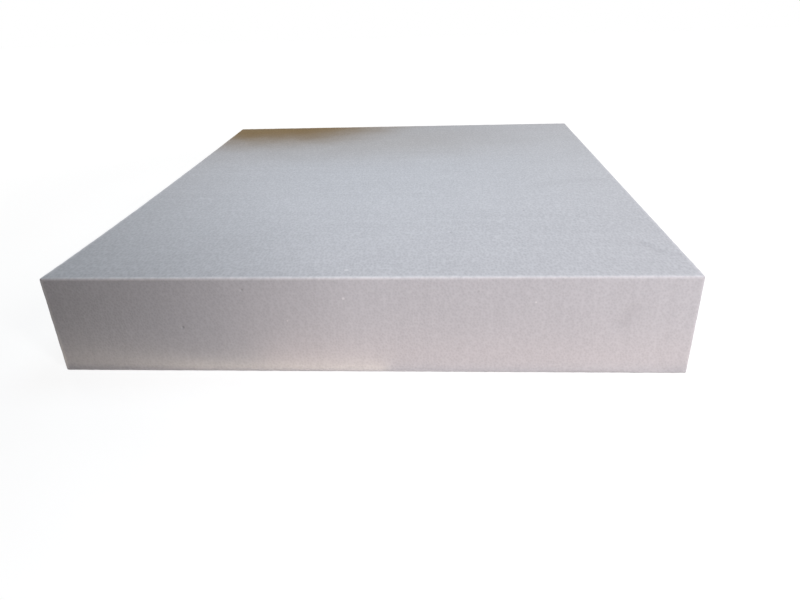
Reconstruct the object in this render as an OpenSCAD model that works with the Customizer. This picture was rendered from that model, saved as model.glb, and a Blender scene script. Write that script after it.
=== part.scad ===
// Foam block: one slab of flexible foam, knife-cut on all six sides.
// The origin is at the middle of the underside, +Z is up and the front faces -Y.

/* [Block] */
// Width of the block at its front and back, from left to right
block_w = 600; // [300:10:1200]
// Depth of the block, from front to back
block_d = 680; // [300:10:1200]
// Thickness of the block
block_h = 100; // [30:5:250]

/* [Cut] */
// Radius to which the springy cut edges ease
edge_r = 1.5; // [0.5:0.25:6]
// How far in the left side's two strokes meet, one from the front and one from the back
side_bow = 4; // [0:0.5:10]

/* [Colour] */
// Colour of the foam
foam_colour = "#C6C6CB"; // [#C6C6CB, #E9E6DC, #8F9398]

/* [Hidden] */

// How far a cutter reaches past the faces that it trims
over = 4;
// Spare foam on the left, for the two strokes to take off
spare = 2;
// Angle at which each stroke on the left side turns in
stroke_angle = atan(2 * side_bow / block_d);
// Facets of a full turn
ease_fn = 64;

// Section of the cutter that eases one edge: what lies outside a quarter round.
// The edge is the origin and the foam lies towards -X -Y.
module ease_section() {
    translate([-edge_r, -edge_r])
        difference() {
            square(edge_r + over);
            circle(r = edge_r, $fn = ease_fn);
        }
}

// Cutter for a straight edge, with the middle of the edge at the origin and the edge along Z
module straight_ease(length) {
    translate([0, 0, -length / 2 - over])
        linear_extrude(height = length + 2 * over)
            ease_section();
}

// Section of what a stroke took off the left side, with the eased edges above and below.
// The cut is the Y axis and the foam lies towards +X.
module stroke_section() {
    translate([-side_bow - over, -over])
        square([side_bow + over, block_h + 2 * over]);
    translate([0, block_h])
        mirror([1, 0])
            ease_section();
    mirror([1, 0])
        mirror([0, 1])
            ease_section();
}

// What the stroke from the back took off, as far as half depth, where the strokes meet
module stroke_cutter() {
    intersection() {
        translate([side_bow - block_w / 2, 0, 0])
            rotate([90, 0, stroke_angle])
                translate([0, 0, -block_d / 2 - over])
                    linear_extrude(height = block_d / 2 + 2 * over)
                        stroke_section();
        translate([-block_w, 0, -2 * over])
            cube([block_w, block_d, block_h + 4 * over]);
    }
}

// Cutters for the edges of the top face along the front, the back and the right; the face is at z = 0
module top_eases() {
    for (turn = [0, 180])
        rotate([0, 0, turn])
            translate([0, block_d / 2, 0])
                rotate([90, 0, 90])
                    straight_ease(block_w);
    translate([block_w / 2, 0, 0])
        rotate([90, 0, 0])
            straight_ease(block_d);
}

// Cutters for the four upright edges
module upright_eases() {
    for (side_x = [0, 1], side_y = [0, 1])
        mirror([side_x, 0, 0])
            mirror([0, side_y, 0])
                translate([block_w / 2, block_d / 2, block_h / 2])
                    straight_ease(block_h);
}

// The slab with spare foam on the left, before the strokes there
module rough_slab() {
    difference() {
        translate([-block_w / 2 - spare, -block_d / 2, 0])
            cube([block_w + spare, block_d, block_h]);
        translate([0, 0, block_h])
            top_eases();
        mirror([0, 0, 1])
            top_eases();
    }
}

module foam_block() {
    color(foam_colour)
        difference() {
            rough_slab();
            stroke_cutter();
            mirror([0, 1, 0])
                stroke_cutter();
            upright_eases();
        }
}

foam_block();
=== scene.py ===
"""Foam block: one slab of soft open-cell foam, cut by a blade on all six sides, on a pale studio floor."""

import math

import bmesh
import bpy
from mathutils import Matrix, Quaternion, Vector, noise


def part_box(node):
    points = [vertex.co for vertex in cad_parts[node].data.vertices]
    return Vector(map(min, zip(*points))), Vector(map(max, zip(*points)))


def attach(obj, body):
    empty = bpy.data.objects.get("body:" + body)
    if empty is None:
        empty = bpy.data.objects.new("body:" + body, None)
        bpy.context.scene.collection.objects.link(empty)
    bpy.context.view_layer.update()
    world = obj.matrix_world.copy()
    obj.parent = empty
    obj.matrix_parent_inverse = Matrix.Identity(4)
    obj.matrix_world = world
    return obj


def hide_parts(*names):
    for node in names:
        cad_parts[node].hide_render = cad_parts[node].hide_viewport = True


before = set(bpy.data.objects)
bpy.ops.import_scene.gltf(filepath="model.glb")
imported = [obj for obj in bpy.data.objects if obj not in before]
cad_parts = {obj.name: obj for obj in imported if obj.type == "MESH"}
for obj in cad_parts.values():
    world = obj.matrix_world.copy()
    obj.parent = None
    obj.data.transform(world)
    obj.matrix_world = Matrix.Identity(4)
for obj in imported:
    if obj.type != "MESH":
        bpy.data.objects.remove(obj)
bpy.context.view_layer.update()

MM = 0.001

# The slab, from the frame
LOW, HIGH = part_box("foam_block")
SIZE = HIGH - LOW
MIDDLE = (LOW + HIGH) / 2

# The upright axis, and the upright part of its normal above which a face counts as level
UP = 2
LEVEL_ABOVE = 0.5

# The cut edges: their radius, how deep the middle of the round lies, and the steps round it
EDGE_R = 1.5 * MM
EASED_DEPTH = EDGE_R / 3
EDGE_STEPS = 4

# Tears along the edges: how far they vary, their middle as a share of that, and how long they are
RAG = 0.2 * MM
RAG_MIDDLE = 0.5
RAG_LENGTH = 6 * MM

# The pale fringe of frayed struts, with a painted highlight, on the top and underside, on the sides next to
# those,
# and on the sides along the upright edges: how far it reaches in, and how strong it is
# at the left and at the right; the painted highlight makes it strongest at the left. Towards the back it
# falls to the share given after them
FRINGE_LEVEL = (4.5 * MM, 1.3, 0.5)
FRINGE_BESIDE_LEVEL = (2.4 * MM, 1.3, 0.5)
FRINGE_UPRIGHT = (4.2 * MM, 1.6, 0.15)
FRINGE_BACK = 0.15

# The mesh grid, closer together beside the edges than in the middle of a face
GRID = 3.6 * MM
GRID_CROWDING = 0.32

# The hollow that the blade left in the left side
BOW = 3.8 * MM
BOW_DEEPEST_Y = -100 * MM

# How uneven the blade left the faces. Its ripple changes more slowly up the sides than across them
UNEVEN = 0.35 * MM
UNEVEN_LENGTH = 85 * MM
RIPPLE = 0.07 * MM
RIPPLE_LENGTH = 9 * MM
RIPPLE_UPWARD = 0.15

# Press marks: where each starts and ends on the slab, its half width and its depth. PRESS_FALL is how fast
# they shallow towards their half width, and the shade after it how far a millimetre of depth darkens the
# foam, as painted shade in the marks
PRESS_MARKS = [
    (Vector((233, -340, 53)) * MM, Vector((242, -340, 67)) * MM, 8 * MM, 0.5 * MM),
    (Vector((267, -261, 100)) * MM, Vector((277, -281, 100)) * MM, 8 * MM, 0.5 * MM),
    (Vector((277, -281, 100)) * MM, Vector((294, -292, 100)) * MM, 7 * MM, 0.3 * MM),
    (Vector((195, -52, 100)) * MM, Vector((280, -34, 100)) * MM, 9 * MM, 0.3 * MM),
]
PRESS_FALL = 2
PRESS_PAINTED_SHADE = 0.2

# Single pores, wider than the cells, and painted glints, pale specks where cell windows catch the light:
# the place and the radius
PORES = [
    (Vector((-173, -340, 49)) * MM, 1.8 * MM),
    (Vector((-111, -340, 88)) * MM, 1.6 * MM),
    (Vector((81, -226, 100)) * MM, 2.4 * MM),
    (Vector((165, -156, 100)) * MM, 2.2 * MM),
]
PAINTED_GLINTS = [
    (Vector((-16, -323, 100)) * MM, 2.8 * MM),
    (Vector((-18, -340, 79)) * MM, 1.8 * MM),
    (Vector((-72, -340, 56)) * MM, 1.2 * MM),
    (Vector((156, -340, 75)) * MM, 1.1 * MM),
]

# A pore's depth as a share of its radius, how fast it shallows, and the cuts of the grid round it
PORE_DEPTH = 0.4
PORE_FALL = 3
PORE_CUTS = 5

# How far pores darken the foam and the painted glints lighten it, and the share of the radius over which
# they are full
PORE_SHARE = 0.25
PAINTED_GLINT_SHARE = 0.65
SPOT_CORE = 0.3

# Fainter pores, strewn over all the faces
STRAY_PORE_SPACING = 38 * MM
STRAY_PORE_R = 1.5 * MM
STRAY_PORE_SHARE = 0.7

# The foam's cells are about 1 mm wide, and are drawn twice as wide so that they show. They are longer from
# front to back, the way the foam rose. Each has a dark mouth, and pale struts between it and the next:
# how far from its middle, in cell widths, the mouth ends and the struts are full
CELL = 2.4 * MM
CELL_STRETCH = 1.8
MOUTH_ENDS = 0.12
STRUTS_FULL = 0.8

# Grit is how the cut struts clump, clouds are slow changes of tone, and streaks follow the blade
GRIT = {"Scale": 1 / (3.4 * MM), "Detail": 2.0, "Roughness": 0.6}
CLOUDS = {"Scale": 1 / (70 * MM), "Detail": 3.0, "Roughness": 0.55}
STREAKS = {"Scale": 1.0, "Detail": 2.0, "Roughness": 0.5}
STREAK_WIDTH = 7 * MM
STREAK_LENGTH = 260 * MM

# Each pattern's weight in the foam's tone, times how open the cells lie on upright and on level faces.
# MID_TONE is the middle of each pattern and of the tone
STRUTS_WEIGHT = 0.24
GRIT_WEIGHT = 0.26
CLOUDS_WEIGHT = 0.12
STREAKS_WEIGHT = 0.14
OPEN_UPRIGHT = 1.0
OPEN_LEVEL = 1.5
MID_TONE = 0.5

# The frayed struts stand in tufts: how far the grit parts them, and how pale the gaps between them are
TUFT_CONTRAST = 1.2
TUFT_GAPS = 0.1

# Painted brown shade with warm bounce, strong at the rear left corner and faint over the back of the top:
# each patch's middle, its reach along each axis, the share of that reach over which it is even,
# and how far it takes on the painted brown shade. The clouds make its outline uneven
PAINTED_SHADE_PATCHES = [
    (Vector((-249, 403, 100)) * MM, Vector((329, 269, 7)) * MM, 0.35, 0.92),
    (Vector((-90, 223, 100)) * MM, Vector((410, 210, 7)) * MM, 0.13, 0.18),
]
PAINTED_SHADE_UNEVEN = 0.2

# The foam's surface: its fine relief, how rough its cell mouths and struts are, and how little it shines
RELIEF_DEPTH = 0.5 * MM
RELIEF_STRENGTH = 0.15
MOUTH_ROUGHNESS = 0.98
STRUT_ROUGHNESS = 0.88
FOAM_IOR = 1.5
FOAM_SHINE = 0.25

# Colours
FOAM_SHADED = "#B2B2B7"
FOAM_PALE = "#DADADF"
# Pale cut struts, also the colour of the painted edge highlight and the painted glints
STRUTS_AND_HIGHLIGHTS = "#EDEBEE"
PORE_SHADE = "#77757A"
# Painted brown shade at the rear left corner
PAINTED_BROWN_SHADE = "#B7965A"
FLOOR_BOUNCE = "#B4AAA0"
FLOOR_SHADOWED = "#898989"
BLACK_CARD = "#272727"
WHITE = "#FFFFFF"

# The floor: half its side, how far it lies below the slab, and its glow near the slab and far away,
# with how far from the slab each of those is reached
FLOOR_HALF = 4.0
FLOOR_DROP = 0.3 * MM
GLOW_NEAR = 0.87
GLOW_FAR = 1.0
NEAR_ENDS = 0.3
FAR_STARTS = 1.4

# Light: the ambient strength, and each lamp's place, target, width and height, power and colour
AMBIENT = 0.05
LAMPS = {
    "key_lamp": ((1.143, -1.76, 1.163), (0, 0, 0.05), (0.8, 0.8), 42.0, "#FFFBFE"),
    "top_lamp": ((0, -0.04, 0.8), (0, -0.04, 0), (0.35, 0.35), 2.0, "#E1F4FF"),
    "right_lamp": ((1.3, 0.9, 0.9), (0, 0, 0), (0.8, 0.8), 11.1, "#FFFCF3"),
    "fill_lamp": ((-1.8, 1.5, 0.14), (0, 0, 0.05), (0.6, 0.2), 40.0, "#FFFFFF"),
    "left_lamp": ((-0.42, 0.06, 0.3), (-0.25, 0.06, 0.1), (0.2, 0.2), 0.05, "#FFEFDC"),
}

# Strips of light on the floor in front of the slab: each strip's ends, width, power and colour
FOOT_STRIPS = {
    "left_foot_lamp": ((-0.335, -0.3605), (-0.1625, -0.3482), 0.007, 0.0062, "#FFECCD"),
    "middle_foot_lamp": ((-0.1625, -0.3482), (0.02, -0.3465), 0.007, 0.0063, "#FFECCD"),
    "right_foot_lamp": ((-0.10, -0.37), (0.36, -0.37), 0.030, 0.0325, "#FFD5BC"),
    "right_toe_lamp": ((0.02, -0.3465), (0.28, -0.3465), 0.006, 0.0022, "#FFF1E6"),
}
STRIP_HEIGHT = 1 * MM

# A black card between the key lamp and the slab: its lower corner, its side,
# and the lamp's direction in degrees
FLAG_CORNER = (0.219, -0.80, 0.295)
FLAG_SIDE = 1.0
LAMP_AZIMUTH = 33

# The camera of the photograph, with a slight roll: its place, its turn in degrees,
# and its lens and sensor in millimetres
CAMERA_PLACE = (0.0685, -0.8508, 0.3316)
CAMERA_TURN = (63.592, 1.638, 3.072)
CAMERA_LENS = 28.367
SENSOR_WIDTH = 36.0


def linear(hex_colour):
    """An sRGB hex colour as linear RGBA."""
    channels = [int(hex_colour[start:start + 2], 16) / 255 for start in (1, 3, 5)]
    return [c / 12.92 if c <= 0.04045 else ((c + 0.055) / 1.055) ** 2.4 for c in channels] + [1.0]


def add_node(tree, kind, inputs=None, out=0, **settings):
    """Adds a node with its settings and links, and returns one of its outputs.
    An input is a value, or the output that it is linked to."""
    node = tree.nodes.new(kind)
    for name, value in settings.items():
        setattr(node, name, value)
    for socket, value in (inputs or {}).items():
        if isinstance(value, bpy.types.NodeSocket):
            tree.links.new(value, node.inputs[socket])
        else:
            node.inputs[socket].default_value = value
    return node.outputs[out] if len(node.outputs) else None


def new_material(name):
    """An empty node material."""
    material = bpy.data.materials.new(name)
    material.use_nodes = True
    material.node_tree.nodes.clear()
    return material


def new_object(name, mesh_work, material):
    """Turns a bmesh into an object of the scene."""
    mesh = bpy.data.meshes.new(name)
    mesh_work.to_mesh(mesh)
    mesh_work.free()
    mesh.materials.append(material)
    made = bpy.data.objects.new(name, mesh)
    bpy.context.scene.collection.objects.link(made)
    return made


# The slab's mesh

def gridded_slab():
    """A closed box with eased edges, divided into a grid that is finest at the edges and the pores."""
    slab = bmesh.new()
    bmesh.ops.create_cube(slab, size=1.0)
    bmesh.ops.scale(slab, vec=SIZE, verts=slab.verts)
    bmesh.ops.translate(slab, vec=MIDDLE, verts=slab.verts)
    bmesh.ops.bevel(
        slab, geom=slab.edges[:], offset=EDGE_R, offset_type="OFFSET",
        segments=EDGE_STEPS, profile=0.5, affect="EDGES", material=-1,
    )
    for axis in range(3):
        long_edges = [
            edge for edge in slab.edges
            if abs(edge.verts[0].co[axis] - edge.verts[1].co[axis]) > SIZE[axis] / 2
        ]
        bmesh.ops.subdivide_edges(
            slab, edges=long_edges, cuts=round(SIZE[axis] / GRID) - 1, use_grid_fill=True,
        )
    for vertex in slab.verts:
        vertex.co = crowd_to_edges(vertex.co)
    for middle, radius in PORES:
        near_edges = {
            edge for face in slab.faces
            if (face.calc_center_median() - middle).length < radius + GRID / 2
            for edge in face.edges
        }
        bmesh.ops.subdivide_edges(slab, edges=list(near_edges), cuts=PORE_CUTS, use_grid_fill=True)
    return slab


def crowd_to_edges(place):
    """Moves a point of the even grid along its face, towards the nearest edges."""
    crowded = place.copy()
    for axis in range(3):
        reach = SIZE[axis] / 2 - EDGE_R
        share = (place[axis] - MIDDLE[axis]) / reach
        if abs(share) < 1:
            crowded[axis] = MIDDLE[axis] + reach * share * (1 + GRID_CROWDING * (1 - share * share))
    return crowded


def edge_fringe(place):
    """How near a point is to an edge, from 1 on it to 0 where the fringe ends, and how strong that edge's
    pale fringe
    with its painted highlight is: less towards the right and the back."""
    depths = [SIZE[axis] / 2 - abs(place[axis] - MIDDLE[axis]) for axis in range(3)]
    face_axis, edge_axis, _ = sorted(range(3), key=depths.__getitem__)
    if face_axis == UP:
        kind = FRINGE_LEVEL
    elif edge_axis == UP:
        kind = FRINGE_BESIDE_LEVEL
    else:
        kind = FRINGE_UPRIGHT
    reach, fringe_left, fringe_right = kind
    share = min(max(1 - (depths[edge_axis] - EASED_DEPTH) / reach, 0), 1)
    across = (place.x - LOW.x) / SIZE.x
    along = (place.y - LOW.y) / SIZE.y
    # The fringe's strength holds a painted highlight, strongest at the left
    fringe_strength = (fringe_left + (fringe_right - fringe_left) * across) * (1 + (FRINGE_BACK - 1) * along)
    return share * share * (3 - 2 * share), fringe_strength


def left_bow(place):
    """How far in the left side's hollow takes a point. It fades out towards the right side."""
    end = LOW.y if place.y < BOW_DEEPEST_Y else HIGH.y
    along = (place.y - BOW_DEEPEST_Y) / (end - BOW_DEEPEST_Y)
    across = (HIGH.x - place.x) / SIZE.x
    return BOW * max(1 - along * along, 0) * across ** 3


def blade_marks(place, outward):
    """How far the face stands out or in where the blade wandered."""
    swell = noise.noise(place / UNEVEN_LENGTH)
    across = place.y if abs(outward.z) > LEVEL_ABOVE else place.x + place.y
    upward = RIPPLE_UPWARD * place.z
    ripple = noise.noise(Vector((across / RIPPLE_LENGTH, upward / RIPPLE_LENGTH, place.x / SIZE.x)))
    return UNEVEN * swell + RIPPLE * ripple


def press_depth(place):
    """How deep the press marks lie at a point."""
    depth = 0
    for start, end, half_width, deepest in PRESS_MARKS:
        along = (place - start).dot(end - start) / (end - start).length_squared
        nearest = start.lerp(end, min(max(along, 0), 1))
        depth += deepest * math.exp(-PRESS_FALL * (place - nearest).length_squared / half_width ** 2)
    return depth


def pore_depth(place):
    """How deep the single pores lie at a point."""
    return sum(
        PORE_DEPTH * radius * math.exp(-PORE_FALL * (place - middle).length_squared / radius ** 2)
        for middle, radius in PORES
    )


def make_slab(material):
    """The foam slab with its eased, slightly ragged edges, hollow left side, press marks and pores."""
    slab = gridded_slab()
    slab.normal_update()
    fringe = slab.verts.layers.float.new("fringe")
    pressed = slab.verts.layers.float.new("pressed")
    moved = {}
    for vertex in slab.verts:
        place = vertex.co
        outward = vertex.normal.copy()
        nearness, fringe_strength = edge_fringe(place)
        press = press_depth(place)
        tear = RAG * nearness * (RAG_MIDDLE + noise.noise(place / RAG_LENGTH))
        resting = outward.z < -LEVEL_ABOVE
        wander = 0 if resting else blade_marks(place, outward) * (1 - nearness)
        shifted = place + outward * (wander - max(tear, 0) - press - pore_depth(place))
        shifted.x += left_bow(place)
        vertex[fringe] = nearness * fringe_strength
        vertex[pressed] = press / MM
        moved[vertex] = shifted
    for vertex, place in moved.items():
        vertex.co = place
    for face in slab.faces:
        face.smooth = True
    return new_object("foam_slab", slab, material)


# The foam's finish

def level_faces(tree):
    """1 on the top and underside, 0 on the sides."""
    facing = add_node(tree, "ShaderNodeNewGeometry", out="True Normal")
    upward = add_node(tree, "ShaderNodeSeparateXYZ", {"Vector": facing}, out="Z")
    upright_part = add_node(tree, "ShaderNodeMath", {0: upward}, operation="ABSOLUTE")
    return add_node(tree, "ShaderNodeMath", {0: upright_part, 1: LEVEL_ABOVE}, operation="GREATER_THAN")


def cut_cells(tree, place):
    """The struts round the cell mouths, and the grit in which the struts clump."""
    risen = add_node(tree, "ShaderNodeMapping", {"Vector": place, "Scale": (1, 1 / CELL_STRETCH, 1)})
    cell_distance = add_node(
        tree, "ShaderNodeTexVoronoi", {"Vector": risen, "Scale": 1 / CELL}, out="Distance", feature="F1",
    )
    struts = add_node(
        tree, "ShaderNodeMapRange",
        {"Value": cell_distance, "From Min": MOUTH_ENDS, "From Max": STRUTS_FULL},
    )
    grit = add_node(tree, "ShaderNodeTexNoise", {"Vector": risen, **GRIT})
    return struts, grit


def blade_streaks(tree, place, level):
    """Streaks that run up the sides, and from left to right on the top and underside."""
    up_way = add_node(
        tree, "ShaderNodeMapping",
        {"Vector": place, "Scale": (1 / STREAK_WIDTH, 1 / STREAK_WIDTH, 1 / STREAK_LENGTH)},
    )
    flat_way = add_node(
        tree, "ShaderNodeMapping",
        {"Vector": place, "Scale": (1 / STREAK_LENGTH, 1 / STREAK_WIDTH, 1 / STREAK_LENGTH)},
    )
    way = add_node(
        tree, "ShaderNodeMix", {0: level, 4: up_way, 5: flat_way}, out=1, data_type="VECTOR",
    )
    return add_node(tree, "ShaderNodeTexNoise", {"Vector": way, **STREAKS})


def foam_tone(tree, level, weighted_patterns):
    """The foam's own tone, from 0 for shaded to 1 for pale."""
    openness = add_node(
        tree, "ShaderNodeMapRange", {"Value": level, "To Min": OPEN_UPRIGHT, "To Max": OPEN_LEVEL},
    )
    tone = MID_TONE
    for pattern, weight in weighted_patterns:
        middled = add_node(tree, "ShaderNodeMath", {0: pattern, 1: MID_TONE}, operation="SUBTRACT")
        opened = add_node(tree, "ShaderNodeMath", {0: openness, 1: weight}, operation="MULTIPLY")
        tone = add_node(
            tree, "ShaderNodeMath", {0: middled, 1: opened, 2: tone}, operation="MULTIPLY_ADD",
        )
    return tone


def frayed_edges_and_highlight(tree, grit):
    """The tufts of cut struts along the edges, with a painted highlight, by the mesh's own fringe."""
    fringe = add_node(tree, "ShaderNodeAttribute", out="Fac", attribute_name="fringe")
    tufts = add_node(
        tree, "ShaderNodeMath", {0: grit, 1: TUFT_CONTRAST, 2: TUFT_GAPS}, operation="MULTIPLY_ADD",
    )
    return add_node(
        tree, "ShaderNodeMath", {0: fringe, 1: tufts}, operation="MULTIPLY", use_clamp=True,
    )


def spots(tree, place, marks):
    """1 at each mark, falling to 0 at its radius."""
    covered = 0.0
    for middle, radius in marks:
        away = add_node(
            tree, "ShaderNodeVectorMath", {0: place, 1: middle}, out="Value", operation="DISTANCE",
        )
        near = add_node(
            tree, "ShaderNodeMapRange",
            {"Value": away, "From Min": radius, "From Max": radius * SPOT_CORE},
            interpolation_type="SMOOTHSTEP",
        )
        covered = add_node(tree, "ShaderNodeMath", {0: near, 1: covered}, operation="MAXIMUM")
    return covered


def all_pores(tree, place):
    """The single pores, and the fainter ones strewn over the faces."""
    stray_distance = add_node(
        tree, "ShaderNodeTexVoronoi", {"Vector": place, "Scale": 1 / STRAY_PORE_SPACING}, out="Distance",
    )
    stray_r = STRAY_PORE_R / STRAY_PORE_SPACING
    stray = add_node(
        tree, "ShaderNodeMapRange",
        {
            "Value": stray_distance, "To Max": STRAY_PORE_SHARE,
            "From Min": stray_r, "From Max": stray_r * SPOT_CORE,
        },
    )
    return add_node(tree, "ShaderNodeMath", {0: stray, 1: spots(tree, place, PORES)}, operation="MAXIMUM")


def painted_shade_share(tree, place, clouds, patch):
    """How far the foam takes on the painted brown shade in one patch, with a cloudy outline."""
    middle, reach, evenly, most = patch
    offset = add_node(tree, "ShaderNodeVectorMath", {0: place, 1: middle}, operation="SUBTRACT")
    in_reaches = add_node(tree, "ShaderNodeVectorMath", {0: offset, 1: reach}, operation="DIVIDE")
    distance = add_node(tree, "ShaderNodeVectorMath", {0: in_reaches}, out="Value", operation="LENGTH")
    uneven = add_node(
        tree, "ShaderNodeMath", {0: clouds, 1: PAINTED_SHADE_UNEVEN, 2: distance}, operation="MULTIPLY_ADD",
    )
    cloud_middle = PAINTED_SHADE_UNEVEN * MID_TONE
    return add_node(
        tree, "ShaderNodeMapRange",
        {
            "Value": uneven, "To Max": most,
            "From Min": 1 + cloud_middle, "From Max": evenly + cloud_middle,
        },
        interpolation_type="SMOOTHSTEP",
    )


def foam_colour(tree, place, struts, grit, pores):
    """The foam's own colour, then painted shade in the press marks, darker by the depth of the mark in
    millimetres, then frayed edges with a painted highlight, pores and painted glints, and last the painted
    brown shade."""
    level = level_faces(tree)
    clouds = add_node(tree, "ShaderNodeTexNoise", {"Vector": place, **CLOUDS})
    streaks = blade_streaks(tree, place, level)
    tone = foam_tone(tree, level, (
        (struts, STRUTS_WEIGHT), (grit, GRIT_WEIGHT), (clouds, CLOUDS_WEIGHT), (streaks, STREAKS_WEIGHT),
    ))
    # Painted shade in the press marks, darker by their depth in millimetres
    pressed = add_node(tree, "ShaderNodeAttribute", out="Fac", attribute_name="pressed")
    press_painted_shade = add_node(tree, "ShaderNodeMath", {0: pressed, 1: PRESS_PAINTED_SHADE}, operation="MULTIPLY")
    pore_share = add_node(tree, "ShaderNodeMath", {0: pores, 1: PORE_SHARE}, operation="MULTIPLY")
    # Painted glints off cell windows, lightened towards the pale strut colour
    painted_glints = spots(tree, place, PAINTED_GLINTS)
    painted_glint_share = add_node(tree, "ShaderNodeMath", {0: painted_glints, 1: PAINTED_GLINT_SHARE}, operation="MULTIPLY")

    colour = linear(FOAM_SHADED)
    for share, covering in (
        (tone, FOAM_PALE),
        (press_painted_shade, PORE_SHADE),
        (frayed_edges_and_highlight(tree, grit), STRUTS_AND_HIGHLIGHTS),
        (pore_share, PORE_SHADE),
        (painted_glint_share, STRUTS_AND_HIGHLIGHTS),
    ):
        colour = add_node(
            tree, "ShaderNodeMix", {0: share, 6: colour, 7: linear(covering)}, out=2, data_type="RGBA",
        )
    # Painted brown shade with warm bounce, strongest at the rear left corner, multiplied over the foam's
    # colour
    for patch in PAINTED_SHADE_PATCHES:
        painted_shade = painted_shade_share(tree, place, clouds, patch)
        colour = add_node(
            tree, "ShaderNodeMix", {0: painted_shade, 6: colour, 7: linear(PAINTED_BROWN_SHADE)},
            out=2, data_type="RGBA", blend_type="MULTIPLY",
        )
    return colour


def knife_cut_foam():
    """Flexible polyurethane foam, open-celled and cut by a blade. It is dead matt, with a fine speckle of
    dark cell mouths between paler cut struts, faint streaks along the blade's way, paler frayed edges with
    a painted highlight, and a painted brown shade with warm bounce at the rear left corner."""
    material = new_material("polyurethane_foam_knife_cut")
    tree = material.node_tree
    place = add_node(tree, "ShaderNodeTexCoord", out="Object")
    struts, grit = cut_cells(tree, place)
    pores = all_pores(tree, place)
    height = add_node(tree, "ShaderNodeMath", {0: struts, 1: pores}, operation="SUBTRACT")
    relief = add_node(
        tree, "ShaderNodeBump",
        {"Strength": RELIEF_STRENGTH, "Distance": RELIEF_DEPTH, "Height": height}, out="Normal",
    )
    roughness = add_node(
        tree, "ShaderNodeMapRange", {"Value": struts, "To Min": MOUTH_ROUGHNESS, "To Max": STRUT_ROUGHNESS},
    )
    foam = add_node(
        tree, "ShaderNodeBsdfPrincipled",
        {
            "Base Color": foam_colour(tree, place, struts, grit, pores),
            "Roughness": roughness, "Normal": relief,
            "IOR": FOAM_IOR, "Specular IOR Level": FOAM_SHINE,
        },
        out="BSDF",
    )
    add_node(tree, "ShaderNodeOutputMaterial", {"Surface": foam})
    return material


# The stage: floor, lamps and camera

def seen_directly(tree):
    """1 for rays that show the stage itself, 0 for rays that gather the light it gives."""
    seen = 0.0
    for ray in ("Is Camera Ray", "Is Glossy Ray", "Is Transmission Ray"):
        found = add_node(tree, "ShaderNodeLightPath", out=ray)
        seen = add_node(tree, "ShaderNodeMath", {0: found, 1: seen}, operation="MAXIMUM")
    return seen


def pale_floor():
    """A matt pale floor that reads as white to the camera, keeps the slab's shadow
    and bounces a little warm light."""
    material = new_material("pale_matt_floor")
    tree = material.node_tree
    seen = seen_directly(tree)
    place = add_node(tree, "ShaderNodeTexCoord", out="Object")
    mirrored = add_node(tree, "ShaderNodeVectorMath", {0: place}, operation="ABSOLUTE")
    beyond = add_node(tree, "ShaderNodeVectorMath", {0: mirrored, 1: SIZE / 2}, operation="SUBTRACT")
    outside = add_node(tree, "ShaderNodeVectorMath", {0: beyond, 1: (0, 0, 0)}, operation="MAXIMUM")
    away = add_node(tree, "ShaderNodeVectorMath", {0: outside}, out="Value", operation="LENGTH")
    glow = add_node(
        tree, "ShaderNodeMapRange",
        {
            "Value": away, "From Min": NEAR_ENDS, "From Max": FAR_STARTS,
            "To Min": GLOW_NEAR, "To Max": GLOW_FAR,
        },
    )
    shadowed = add_node(tree, "ShaderNodeBsdfDiffuse", {"Color": linear(FLOOR_SHADOWED)})
    white = add_node(tree, "ShaderNodeEmission", {"Color": linear(WHITE), "Strength": glow})
    shown = add_node(tree, "ShaderNodeAddShader", {0: shadowed, 1: white})
    bounce = add_node(tree, "ShaderNodeBsdfDiffuse", {"Color": linear(FLOOR_BOUNCE)})
    mixed = add_node(tree, "ShaderNodeMixShader", {0: seen, 1: bounce, 2: shown})
    add_node(tree, "ShaderNodeOutputMaterial", {"Surface": mixed})
    return material


def make_floor():
    """The floor, just below the slab."""
    floor = bmesh.new()
    bmesh.ops.create_grid(floor, x_segments=1, y_segments=1, size=FLOOR_HALF)
    bmesh.ops.translate(floor, vec=(0, 0, -FLOOR_DROP), verts=floor.verts)
    made = new_object("floor", floor, pale_floor())


def aimed_lamp(name, place, target, size, power, colour):
    """A soft box that faces a target."""
    data = bpy.data.lights.new(name, "AREA")
    data.shape = "RECTANGLE"
    data.size, data.size_y = size
    data.energy = power
    data.color = linear(colour)[:3]
    lamp = bpy.data.objects.new(name, data)
    lamp.location = place
    lamp.rotation_euler = (Vector(place) - Vector(target)).to_track_quat("Z", "Y").to_euler()
    bpy.context.scene.collection.objects.link(lamp)
    return lamp


def foot_strip(name, start, end, width, power, colour):
    """A strip of light on the floor, which faces up."""
    run = Vector(end) - Vector(start)
    middle = (Vector(start) + run / 2).to_3d() + Vector((0, 0, STRIP_HEIGHT))
    lamp = aimed_lamp(name, middle, middle + Vector((0, 0, 1)), (run.length, width), power, colour)
    lamp.rotation_euler.rotate(Quaternion((0, 0, 1), math.atan2(run.y, run.x)))


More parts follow.
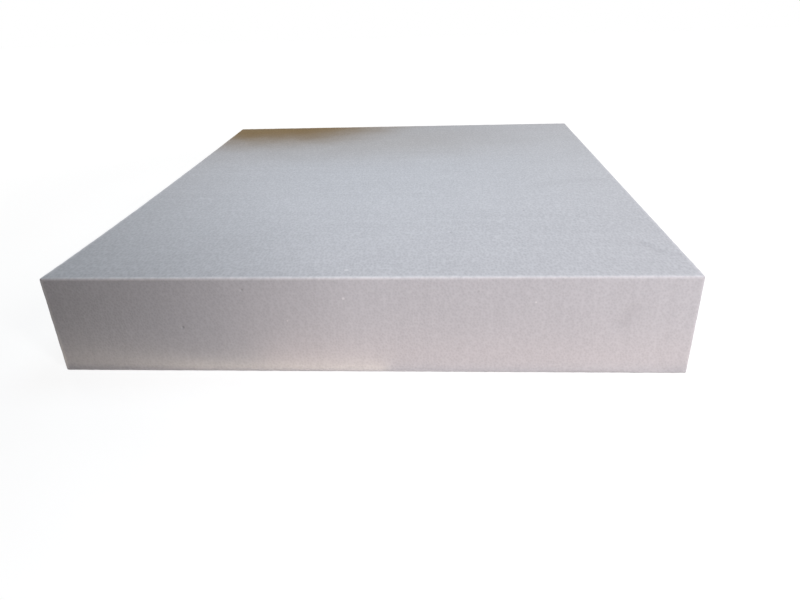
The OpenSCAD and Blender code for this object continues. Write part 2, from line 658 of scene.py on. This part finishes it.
def make_flag():
    """A black card that keeps the key lamp off the slab's front left corner."""
    material = new_material("black_card")
    tree = material.node_tree
    card = add_node(tree, "ShaderNodeBsdfDiffuse", {"Color": linear(BLACK_CARD)})
    add_node(tree, "ShaderNodeOutputMaterial", {"Surface": card})
    flag = bmesh.new()
    bmesh.ops.create_grid(flag, x_segments=1, y_segments=1, size=FLAG_SIDE / 2)
    made = new_object("flag", flag, material)
    turn = math.radians(LAMP_AZIMUTH)
    made.location = Vector(FLAG_CORNER) + FLAG_SIDE / 2 * Vector((-math.cos(turn), -math.sin(turn), 1))
    made.rotation_euler = (math.radians(90), 0, turn)
    made.visible_camera = False
    made.visible_diffuse = False
    made.visible_glossy = False


def light_studio():
    """A faint ambient light behind a white background, and the lamps with their card."""
    world = bpy.data.worlds.new("studio")
    bpy.context.scene.world = world
    world.use_nodes = True
    tree = world.node_tree
    tree.nodes.clear()
    seen = seen_directly(tree)
    ambient = add_node(tree, "ShaderNodeBackground", {"Color": linear(WHITE), "Strength": AMBIENT})
    white = add_node(tree, "ShaderNodeBackground", {"Color": linear(WHITE), "Strength": 1.0})
    mixed = add_node(tree, "ShaderNodeMixShader", {0: seen, 1: ambient, 2: white})
    add_node(tree, "ShaderNodeOutputWorld", {"Surface": mixed})
    for name, settings in LAMPS.items():
        aimed_lamp(name, *settings)
    for name, settings in FOOT_STRIPS.items():
        foot_strip(name, *settings)
    make_flag()


def make_camera():
    """The camera, with the view of the photograph."""
    data = bpy.data.cameras.new("photo_camera")
    data.lens = CAMERA_LENS
    data.sensor_fit = "HORIZONTAL"
    data.sensor_width = SENSOR_WIDTH
    camera = bpy.data.objects.new("photo_camera", data)
    camera.location = CAMERA_PLACE
    camera.rotation_euler = [math.radians(angle) for angle in CAMERA_TURN]
    bpy.context.scene.collection.objects.link(camera)
    bpy.context.scene.camera = camera


slab = make_slab(knife_cut_foam())
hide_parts("foam_block")
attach(slab, "root")

make_floor()
light_studio()
make_camera()
bpy.context.scene.view_settings.view_transform = "Standard"
